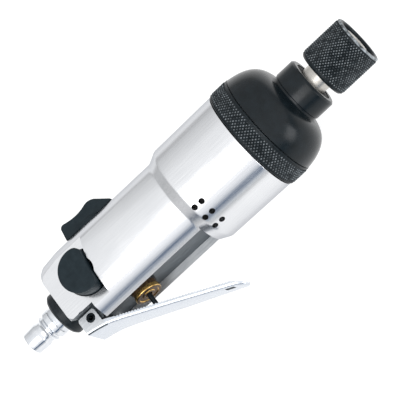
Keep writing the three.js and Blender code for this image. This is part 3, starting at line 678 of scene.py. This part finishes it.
def housing_blank():
    profile = [
        (HOUSING_REAR, 0),
        (HOUSING_REAR, 19.4, 0.8),
        (HOUSING_REAR + 2.2, 20.7, 3),
        (HOUSING_REAR + 11, HANDLE_R, 6),
        (SHOULDER_REAR, HANDLE_R, 3.5),
        (SHOULDER_FRONT, BODY_R - 0.45, 3.5),
        (RING_REAR - GAP, BODY_R, 0.3),
        (RING_REAR - GAP, SPIGOT_R),
        (SPIGOT_FRONT, SPIGOT_R),
        (SPIGOT_FRONT, HAMMER_CAVITY_R),
        (HAMMER_CAVITY_REAR, HAMMER_CAVITY_R),
        (HAMMER_CAVITY_REAR, MOTOR_BORE_R),
        (MOTOR_BORE_REAR, MOTOR_BORE_R),
        (MOTOR_BORE_REAR, 0),
    ]
    return revolve("housing_body", profile, 240)


def lever_notch(side):
    """Leaves a tongue for the lever to straddle. The notch's upper wall slopes outwards."""
    outer = 30
    section = [(-9.2, TONGUE_HALF), (-14.9, outer), (-outer, outer), (-outer, TONGUE_HALF)]
    outline = [(y, side * z) for y, z in section]
    return extrude("notch", outline, HOUSING_REAR - 1, NOTCH_FRONT, axes=(Y, Z, X))


def vent_drills():
    drills = []
    for x in EXHAUST_COLUMNS:
        for row in EXHAUST_ROWS:
            outwards = Vector((0, -math.sin(math.radians(row)), math.cos(math.radians(row))))
            drills.append(rod("vent", 12, 40, EXHAUST_R, 28, (x, 0, 0), outwards))
    return merged("vents", drills)


def finish_and_painted_shade(centre, normal):
    """0 where a face of the housing is polished, 1 where painted shade darkens it inside the channel,
    notches, pockets and on the side flats' front walls, and 2 on the channel's brighter side walls."""
    if not HOUSING_REAR + 0.5 < centre.x < CHANNEL_FRONT + 0.1:
        return 0
    in_channel = centre.y < -CHANNEL_FLOOR and centre.x > CHANNEL_REAR
    if in_channel and abs(normal.z) > 0.9 and abs(abs(centre.z) - CHANNEL_HALF) < 0.3:
        return 2
    if normal.x < -0.9 and abs(centre.z) > 8:
        return 1
    on_side_flat = abs(normal.z) > 0.9 and abs(centre.z) > SIDE_FLAT_Z - 0.4
    rear_rim = centre.x < HOUSING_REAR + 3 and abs(normal.x) > 0.3
    return int(math.hypot(centre.y, centre.z) < HANDLE_R - 2.3 and not on_side_flat and not rear_rim)


def make_housing():
    far = 40
    body = housing_blank()
    cuts = [
        box("channel", (CHANNEL_REAR, -far, -CHANNEL_HALF), (CHANNEL_FRONT, -CHANNEL_FLOOR, CHANNEL_HALF)),
        box("tongue_end", (HOUSING_REAR - 1, -far, -far), (CHANNEL_REAR, -CHANNEL_FLOOR - 1.1, far)),
        lever_notch(1),
        lever_notch(-1),
        rod("pin_hole", -far, far, PIN_R + 0.05, 48, (PIN_X, PIN_Y, 0), Z),
        side_flat(SIDE_FLAT_Z, far),
        side_flat(-far, -SIDE_FLAT_Z),
        extrude("near_pocket", button_outline(POCKET_CLEARANCE, 0.8), POCKET_FLOOR, far),
        extrude("far_pocket", button_outline(POCKET_CLEARANCE, 0.8), -far, -POCKET_FLOOR),
        rod("reverse_bore", -far, far, REVERSE_BORE_R, 64, (REVERSE_X, 0, 0), Z),
        rod("inlet_bore", HOUSING_REAR - 1, INLET_BORE_FRONT, INLET_BORE_R, 64),
        rod("inlet_drilling", INLET_BORE_FRONT - 1, VALVE_X, 1.6, 24, (0, -8, 0)),
        rod("valve_bore", -far, 3.5, VALVE_BORE_R, 64, (VALVE_X, 0, 0), Y),
        rod("regulator_bore", 6, far, REGULATOR_BORE_R, 64, (REGULATOR_X, 0, 0), Y),
        rod("knob_recess", 19.7, far, 7.3, 64, (REGULATOR_X, 0, 0), Y),
        vent_drills(),
    ]
    combine(body, cuts)
    soften(body, 0.28, 2, 45)
    present(body, "polished_aluminium", "housing", ["housing"])
    # Slot 1 is painted shade on the recessed faces; slot 2 is the satin side walls.
    body.data.materials.append(LOOKS["recess_painted_shade"])
    body.data.materials.append(LOOKS["satin_wall"])
    for face in body.data.polygons:
        face.material_index = finish_and_painted_shade(face.center / MM, face.normal)


# ---- Air inlet ----
def make_inlet():
    collar = revolve(
        "inlet_collar",
        [
            (COLLAR_REAR, 6.3, 0.2),
            (COLLAR_REAR, 9.2, 0.6),
            (COLLAR_REAR + 1.2, 10.4, 0.8),
            (HOUSING_REAR - GAP, 10.5, 0.3),
            (HOUSING_REAR - GAP, 6.6),
            (-143, 6.6),
            (-143, 5),
            (-154, 5),
            (-154, 6.3),
        ],
    )
    present(collar, "black_steel", "housing", ["inlet_bushing"])
    plug = revolve(
        "hose_plug",
        [
            (PLUG_REAR, PLUG_BORE_R, 0.25),
            (PLUG_REAR, 5.3, 0.5),
            (-169, 5.7, 0.8),
            (-167.6, 5.1, 0.6),
            (-166.2, 5.1, 0.6),
            (-164.8, 6.3, 0.25),
            (-164.2, 5.4, 0.25),
            (-163.5, 5.5, 0.25),
            (-162.6, 6.7, 0.35),
            (-160.2, 6.6, 0.15),
            (-159.9, 6.2, 0.1),
            (-159.5, 6.6, 0.15),
            (-156.5, 6, 0.2),
            (-154.3, 6),
            (-154.3, 4.7),
            (-145, 4.7),
            (-145, PLUG_BORE_R),
        ],
        128,
    )
    present(plug, "chrome", "housing", ["air_plug"])


# ---- Throttle lever ----
LEVER_PATH = [
    (-150.6, -18.3),
    (-146, -19.2, 16),
    (-141, -20.5, 16),
    (-135, -23, 16),
    (-88, -45, 12),
    (-84.4, -47.2),
]
LEVER_WIDTHS = [
    (-152, 8.8),
    (-139, 8.8),
    (-126, 8),
    (-112, 7.5),
    (-98, 6.2),
    (-88, 5.2),
    (-85.6, 4.2),
    (-84.2, 2.2),
]
LEVER_SHEET = 1.2
LEVER_BEND = 1.5
LUG_REAR, LUG_FRONT, LUG_TOP = -150.3, -141.3, -10.4
FLANGE = 2.5
TOOTH_STEP, TOOTH_DEPTH = 0.62, 0.5


def between(table, x):
    """Reads a value off a table of (x, value) pairs."""
    for (x0, v0), (x1, v1) in zip(table, table[1:]):
        if x <= x1:
            return v0 + (v1 - v0) * max(0, x - x0) / (x1 - x0)
    return table[-1][1]


def lever_stations():
    """Points along the lever's outer face, closer together where the flange is serrated."""
    line = rounded(LEVER_PATH, closed=False)
    fixed = [LUG_REAR + inset for inset in (0, 0.5, 1.2)]
    fixed += [LUG_FRONT + inset for inset in (-1.2, -0.5, 0, 0.06)]
    stations = {point.x for point in line} | set(fixed) | {-89.4, -88.6, -86.8, -86, -85, -84.6}
    teeth = int((-89.6 - -137) / TOOTH_STEP)
    stations |= {-137 + TOOTH_STEP * k for k in range(teeth + 1)}
    ordered = sorted(x for x in stations if x >= LUG_REAR)
    return [(x, between([(p.x, p.y) for p in line], x)) for x in ordered]


def flange_height(x, y):
    """How far the lever's side stands in from its outer face."""
    least = LEVER_BEND + 0.05
    if x <= LUG_FRONT:
        corner = 1.2
        inset = min(x - LUG_REAR, LUG_FRONT - x, corner)
        drop = corner - math.sqrt(max(0, corner * corner - (corner - inset) ** 2))
        return LUG_TOP - drop - y
    low = between([(LUG_FRONT, 3.0), (-137, FLANGE), (-90, FLANGE), (-87, least), (-84, least)], x)
    serrated = -136.5 < x < -89.7 and round((x + 137) / TOOTH_STEP) % 2
    return max(least, low - TOOTH_DEPTH) if serrated else low


def lever_section(half, height):
    """The folded sheet's cross-section: pairs of outer and inner (z, inwards) points from side to side."""
    pairs = [((half, depth), (half - LEVER_SHEET, depth)) for depth in (height, LEVER_BEND)]
    bend_steps = 5
    inner = LEVER_BEND - LEVER_SHEET
    for k in range(1, bend_steps + 1):
        angle = math.pi / 2 * k / bend_steps
        z, depth = math.cos(angle), 1 - math.sin(angle)
        outer_point = (half - LEVER_BEND + LEVER_BEND * z, LEVER_BEND * depth)
        inner_point = (half - LEVER_BEND + inner * z, LEVER_BEND - inner * (1 - depth))
        pairs.append((outer_point, inner_point))
    mirrored = [((-a[0], a[1]), (-b[0], b[1])) for a, b in reversed(pairs)]
    return pairs + mirrored


def lever_finish_and_painted_shade(centre, normal):
    """0 satin chrome, 1 painted shade in the slot and the lugs' fold, 2 dull on the lugs' sides."""
    in_slot = -92.8 < centre.x < -88.6 and 0.5 < centre.z < 3.9 and abs(normal.y) < 0.35
    lug = centre.x < LUG_FRONT + 0.5
    if in_slot or (lug and 0.35 < abs(normal.z) < 0.85 and normal.y < -0.4):
        return 1
    return 2 if lug and abs(normal.z) > 0.9 and abs(centre.z) > 8 else 0


def make_lever():
    bm = bmesh.new()
    stations = lever_stations()
    rows = []
    for i, (x, y) in enumerate(stations):
        x0, y0 = stations[max(i - 1, 0)]
        x1, y1 = stations[min(i + 1, len(stations) - 1)]
        slope = Vector((y0 - y1, x1 - x0, 0)).normalized()
        upright = min(1, max(0, (x - LUG_FRONT) / 5))
        inwards = (Y * (1 - upright) + slope * upright).normalized()
        row = []
        for outer, inner in lever_section(between(LEVER_WIDTHS, x), flange_height(x, y)):
            ends = [Vector((x, y, 0)) + inwards * depth + Z * z for z, depth in (outer, inner)]
            row.append([bm.verts.new(end) for end in ends])
        rows.append(row)
    for first, second in zip(rows, rows[1:]):
        for (a, b), (c, d), (e, f), (g, h) in zip(first, first[1:], second, second[1:]):
            bm.faces.new([a, c, g, e])
            bm.faces.new([b, f, h, d])
        for edge in (0, -1):
            bm.faces.new([first[edge][0], second[edge][0], second[edge][1], first[edge][1]])
    for row in (rows[0], rows[-1]):
        for (a, b), (c, d) in zip(row, row[1:]):
            bm.faces.new([a, b, d, c])
    lever = link("lever", bm)
    cuts = [
        rod("lever_pin_hole", -20, 20, PIN_R + 0.15, 48, (PIN_X, PIN_Y, 0), Z),
        extrude("tip_slot", [(-92.6, -60), (-88.8, -60), (-88.8, 0), (-92.6, 0)], 0.6, 3.8),
    ]
    combine(lever, cuts)
    present(lever, "chrome", "lever", ["throttle_lever"])
    lever.data.materials[0] = LOOKS["satin_chrome"]
    # Painted shade for the slot's walls and the lugs' fold.
    lever.data.materials.append(LOOKS["recess_painted_shade"])
    lever.data.materials.append(LOOKS["satin_wall"])
    for face in lever.data.polygons:
        face.material_index = lever_finish_and_painted_shade(face.center / MM, face.normal)


def make_lever_pin():
    pin = revolve(
        "lever_roll_pin",
        [(-8.7, 1.15), (-8.7, PIN_R, 0.3), (8.7, PIN_R, 0.3), (8.7, 1.15)],
        64,
        (PIN_X, PIN_Y, 0),
        Z,
    )
    combine(pin, [box("slit", (PIN_X, PIN_Y - 0.3, -10), (PIN_X + 5, PIN_Y + 0.3, 10))])
    present(pin, "black_steel", "housing", ["lever_pin"])


# ---- Throttle valve ----
STEM_TIP, POPPET_TOP = -27.8, -6.4


def make_throttle_valve():
    at = (VALVE_X, 0, 0)
    collar = revolve(
        "valve_collar",
        [
            (-20.1, 1.6, 0.15),
            (-20.1, 2.8, 0.15),
            (-19.7, 3.1, 0.15),
            (-19.7, 4.6, 0.15),
            (-20.1, 4.9, 0.15),
            (-20.1, 6.3, 0.5),
            (-17.9, 6.3, 0.4),
            (-17.9, 5.9),
            (-16, 5.9),
            (-16, 5),
            (-9, 5),
            (-9, 3.6),
            (-16.6, 3.6),
            (-16.6, 3),
            (-19, 3),
            (-19, 1.6),
        ],
        128,
        at,
        Y,
    )
    present(collar, "brass", "housing", ["valve_bushing"])
    collar.data.materials.append(LOOKS["brass_painted_shade"])
    # Painted shade on the collar's outward end face and on its part deeper in the housing.
    for face in collar.data.polygons:
        face.material_index = int(face.normal.y < -0.8 or face.center.y / MM > -17.8)
    stem = revolve(
        "valve_push_stem",
        [
            (STEM_TIP, 0),
            (STEM_TIP, 1.1, 0.5),
            (-8.6, 1.1),
            (-8.6, 4.2, 0.1),
            (-7.2, 4.2, 0.2),
            (POPPET_TOP, 3.2),
            (POPPET_TOP, 0),
        ],
        48,
        at,
        Y,
    )
    present(stem, "black_steel", "throttle_stem", ["valve_stem"])


# ---- Power regulator ----
def curve_points(start, control, end, steps=12):
    """Points along a quadratic curve, without its first point."""
    made = []
    for k in range(1, steps + 1):
        t = k / steps
        weights = ((1 - t) ** 2, 2 * t * (1 - t), t * t)
        made.append(tuple(sum(w * p[i] for w, p in zip(weights, (start, control, end))) for i in (0, 1)))
    return made


def make_regulator():
    outline = [(-134.1, 21.95), (-133.2, 27.7)]
    outline += curve_points((-133.2, 27.7), (-132.4, 29.2), (-130.8, 28.9))
    outline += curve_points((-130.8, 28.9), (-124, 27.1), (-118.6, 28.85))
    outline += curve_points((-118.6, 28.85), (-115.9, 29.6), (-113.4, 28))
    outline += [(-107.5, 22.8), (-107.5, 21.95)]
    wing = soften(extrude("wing", outline, -4.8, 4.8), 0.9, 4, 40)
    hub_profile = [(20.1, 0), (20.1, 6.9, 0.3), (22.4, 6.9, 0.3), (22.4, 0)]
    hub = revolve("hub", hub_profile, 96, (REGULATOR_X, 0, 0), Y)
    knob = merged("regulator_wing", [wing, hub])
    present(knob, "black_plastic", "regulator", ["regulator_knob"])


# ---- Reversing buttons ----
def make_reverse_buttons():
    outline = button_outline(0, 3.4)
    ends = [("near", "reverse_button_near", NEAR_SEAT, 1), ("far", "reverse_button_far", FAR_SEAT, -1)]
    for name, node, seat, side in ends:
        face = seat + BUTTON_HEIGHT
        skirt = extrude(f"button_{name}", outline, side * seat, side * face)
        combine(skirt, [rod("socket", seat - 1, seat + 3.3, 3.9, 64, (REVERSE_X, 0, 0), side * Z)])
        soften(skirt, 0.75, 4, 40)
        present(skirt, "black_plastic", "reverse_valve", [node])


# ---- Knurled pieces ----
KNURL_STRETCH = 1.45  # a knurl diamond is this much longer than it is wide


def knurled(name, lead_in, band, lead_out, around, depth, brightened_from=math.inf):
    """A closed ring whose outer band carries a cut diamond knurl.

    The band's vertices are the knurl's own: groove crossings and diamond tops take turns, so each
    diamond is a four-sided pyramid. Past `brightened_from` the outer edge is painted as bright as the tops,
    partly wear and partly a painted glint."""
    start, end, radius = band
    pitch = 2 * math.pi * radius / around
    half_rows = 2 * round((end - start) / (pitch * KNURL_STRETCH))
    steps = 2 * around
    plain_in = [tuple(p) for p in rounded(lead_in, closed=False)]
    plain_out = [tuple(p) for p in rounded(lead_out, closed=False)]
    rows = [(x, r, None) for x, r in plain_in]
    for j in range(half_rows + 1):
        on_border = j in (0, half_rows)
        rows.append((start + (end - start) * j / half_rows, radius, None if on_border else j))
    rows += [(x, r, None) for x, r in plain_out]
    bm = bmesh.new()
    crest = bm.verts.layers.float.new("crest")
    rings = []
    for index, (x, r, j) in enumerate(rows):
        border = r == radius and j is None and len(plain_in) <= index <= len(plain_in) + half_rows
        ring = []
        for k in range(steps):
            groove = border or (j is not None and (j + k) % 2)
            reach = r - depth if groove else r
            angle = 2 * math.pi * k / steps
            vertex = bm.verts.new((x, reach * math.cos(angle), reach * math.sin(angle)))
            # Painted glint, partly wear: the crest tops and the front lip's outer edge are marked bright.
            lip_glint_and_wear = x > brightened_from and r > radius - 1.5
            vertex[crest] = float(lip_glint_and_wear or (j is not None and not groove))
            ring.append(vertex)
        rings.append(ring)
    flat = set()
    for i in range(len(rings)):
        first, second = rings[i], rings[(i + 1) % len(rings)]
        j = i - len(plain_in)
        in_band = 0 <= j < half_rows
        for k in range(steps):
            n = (k + 1) % steps
            if not in_band:
                bm.faces.new([first[k], first[n], second[n], second[k]])
            elif (j + k) % 2:
                flat.add(bm.faces.new([first[k], first[n], second[n]]))
                flat.add(bm.faces.new([first[k], second[n], second[k]]))
            else:
                flat.add(bm.faces.new([first[k], first[n], second[k]]))
                flat.add(bm.faces.new([first[n], second[n], second[k]]))
    for face in bm.faces:
        face.smooth = face not in flat
    made = link(name, bm)
    made.data.set_sharp_from_angle(angle=SMOOTH_ANGLE)
    return made


def make_clamp_ring():
    lip = 0.55
    ring = knurled(
        "clamp_ring_knurled",
        [(RING_REAR, SPIGOT_R + GAP), (RING_REAR, RING_R - 0.9), (RING_REAR + lip, RING_R - 0.25)],
        (RING_REAR + lip + 0.2, RING_FRONT - lip - 0.45, RING_R),
        [
            (RING_FRONT - lip - 0.3, RING_R - 0.3),
            (RING_FRONT - 0.35, RING_R - 0.3),
            (RING_FRONT, RING_R - 0.8),
            (RING_FRONT, SPIGOT_R + GAP),
        ],
        around=104,
        depth=0.5,
    )
    present(ring, "black_steel", "housing", ["clamp_ring"], smooth=False)


def make_chuck_sleeve():
    lead_in = [
        (-1.6, GUIDE_R),
        (SLEEVE_REAR, GUIDE_R),
        (SLEEVE_REAR, SLEEVE_R - 1.2, 0.3),
        (SLEEVE_REAR + 0.9, SLEEVE_R - 0.35, 0.2),
        (SLEEVE_REAR + 1.1, SLEEVE_R - 0.35),
    ]
    lead_out = [
        (SLEEVE_FRONT - 0.85, SLEEVE_R - 0.3),
        (SLEEVE_FRONT - 0.35, SLEEVE_R - 0.35, 0.2),
        (SLEEVE_FRONT, SLEEVE_R - 0.9, 0.3),
        (SLEEVE_FRONT, SLEEVE_BORE_R + 0.3, 0.4),
        (SLEEVE_FRONT - 0.8, SLEEVE_BORE_R, 0.2),
        (7.9, SLEEVE_BORE_R),
        (7.9, GUIDE_R),
        (3.2, GUIDE_R),
        (1.7, 8.4),
        (-1.6, 8.4),
    ]
    band = (SLEEVE_REAR + 1.2, SLEEVE_FRONT - 1, SLEEVE_R)
    # The sleeve's front lip gets the crests' painted glint, partly wear.
    brightened_from = SLEEVE_FRONT - 0.9
    sleeve = knurled("chuck_sleeve_knurled", lead_in, band, lead_out, 54, 0.5, brightened_from)
    present(sleeve, "black_steel", "sleeve", ["chuck_sleeve"], smooth=False)


# ---- Hammer case ----
def dome(steps=28):
    """The case's domed outline, from the clamp ring down to the nose."""
    ends = [(CASE_REAR, CASE_R), (-28.5, 24), (-20.9, 21.8), (-20.1, NOSE_R + 0.6)]
    points = []
    for k in range(steps + 1):
        t = k / steps
        weights = ((1 - t) ** 3, 3 * t * (1 - t) ** 2, 3 * t * t * (1 - t), t**3)
        points.append(tuple(sum(w * p[i] for w, p in zip(weights, ends)) for i in (0, 1)))
    return points


def make_hammer_case():
    case = revolve(
        "hammer_case_shell",
        [
            (CASE_REAR, SPIGOT_R + GAP),
            *dome(),
            (NOSE_BASE, NOSE_R - 0.3, 0.3),
            (NOSE_BASE + 0.9, NOSE_R - 0.3, 0.2),
            (NOSE_BASE + 1.2, NOSE_R, 0.15),
            (NOSE_FRONT - 0.9, NOSE_R, 0.5),
            (NOSE_FRONT, NOSE_R - 0.9, 0.4),
            (NOSE_FRONT, NOSE_BORE_R, 0.2),
            (-29.4, NOSE_BORE_R),
            (-29.4, 12),
            (-28, 14.5),
            (SPIGOT_FRONT + GAP, SPIGOT_R + GAP),
        ],
    )
    present(case, "black_gloss", "housing", ["hammer_case"])


# ---- Spindle and bit chuck ----
def make_anvil():
    body = revolve(
        "anvil_spindle",
        [
            (-66.2, 0),
            (-66.2, 3.8, 0.3),
            (-62, 3.8),
            (-62, 7.2, 0.3),
            (-31.9, 7.2, 0.3),
            (-31.9, SPINDLE_R),
            (13.9, SPINDLE_R, 0.1),
            (13.9, 5.6),
            (15, 5.6),
            (15, SPINDLE_R, 0.1),
            (SPINDLE_FRONT - 0.6, SPINDLE_R, 0.15),
            (SPINDLE_FRONT, SPINDLE_R - 0.6, 0.15),
            (SPINDLE_FRONT, 0),
        ],
        96,
    )
    corner = HEX_FLATS / math.sqrt(3)
    turns = [math.radians(60 * k) for k in range(6)]
    hexagon = [(corner * math.sin(turn), corner * math.cos(turn)) for turn in turns]
    lead_rear, lead_front = SPINDLE_FRONT - 0.9, SPINDLE_FRONT + 0.1
    lead = [(lead_rear, 0), (lead_rear, 3.1), (lead_front, 4.3), (lead_front, 0)]
    combine(
        body,
        [
            extrude("hex_socket", hexagon, 0.5, SPINDLE_FRONT + 1, axes=(Y, Z, X)),
            revolve("lead", lead, 72),
            revolve("socket_floor", [(0, 0), (0, 2.7), (0.5, 3.2), (1, 3.2), (1, 0)], 48),
            rod("upper_ball_hole", 1, 10, LOCK_BALL_R + 0.15, 48, (LOCK_BALL_X, 0, 0), Y),
            rod("lower_ball_hole", 1, 10, LOCK_BALL_R + 0.15, 48, (LOCK_BALL_X, 0, 0), -Y),
        ],
    )
    jaws = [soften(box("jaw", (-61.5, -2, low), (-40, 2, low + 3.8)), 0.4, 3) for low in (5, -8.8)]
    anvil = present(merged("anvil_with_jaws", [body, *jaws]), "chrome", "spindle", ["anvil"])
    anvil.data.materials[0] = LOOKS["worn_steel"]


def make_chuck_parts():
    washer_profile = [(12.9, GUIDE_R, 0.1), (12.9, 8.9, 0.1), (13.8, 8.9, 0.2), (13.8, GUIDE_R, 0.2)]
    washer = revolve("chuck_cover_washer", washer_profile, 96)
    present(washer, "steel", "spindle", ["chuck_washer"])
    # Painted shade: the washer deep in the sleeve's front recess takes the dark recess colour.
    washer.data.materials[0] = LOOKS["recess_painted_shade"]
    ring = revolve("snap_ring", [(14.1, 5.8), (14.1, 7.6, 0.2), (14.8, 7.6, 0.2), (14.8, 5.8)], 96)
    combine(ring, [box("ring_gap", (13, 0, -1), (16, 10, 1))])
    present(ring, "spring_steel", "spindle", ["chuck_retaining_ring"])
    seal_profile = [(-10.6, GUIDE_R, 0.2), (-10.6, 9.3), (-9.3, 9.3, 0.2), (-9.3, GUIDE_R, 0.2)]
    seal = revolve("nose_wiper", seal_profile, 96)
    present(seal, "rubber", "housing", ["nose_seal"])
    seat = SPINDLE_R - LOCK_BALL_R + 0.1
    for node, side in (("lock_ball_upper", 1), ("lock_ball_lower", -1)):
        bm = bmesh.new()
        bmesh.ops.create_icosphere(bm, subdivisions=3, radius=LOCK_BALL_R)
        bmesh.ops.translate(bm, vec=(LOCK_BALL_X, side * seat, 0), verts=bm.verts)
        present(link(f"{node}_polished", bm), "steel", "spindle", [node])


# ---- The CAD nodes that stay ----
def finish_frame_nodes():
    slots = {part["node"]: part["material_slot"] for part in frame["record"]["subparts"]}
    for name, obj in frame["nodes"].items():
        if obj.hide_render:
            continue
        obj.data.materials.clear()
        obj.data.materials.append(LOOKS[slots[name]])


add_camera()
studio_world()
area_light("overhead_softbox", (-0.32, -0.42, 0.85), distance=1.7, width=0.9, height=1.0, radiance=4.4)
area_light("front_softbox", (0.6, -0.8, 0.2), distance=1.2, width=0.6, height=0.42, radiance=4.5)
add_floor(floor_paint())
bpy.context.scene.view_settings.view_transform = "Standard"

make_housing()
make_inlet()
make_lever()
make_lever_pin()
make_throttle_valve()
make_regulator()
make_reverse_buttons()
make_clamp_ring()
make_hammer_case()
make_anvil()
make_chuck_sleeve()
make_chuck_parts()
finish_frame_nodes()
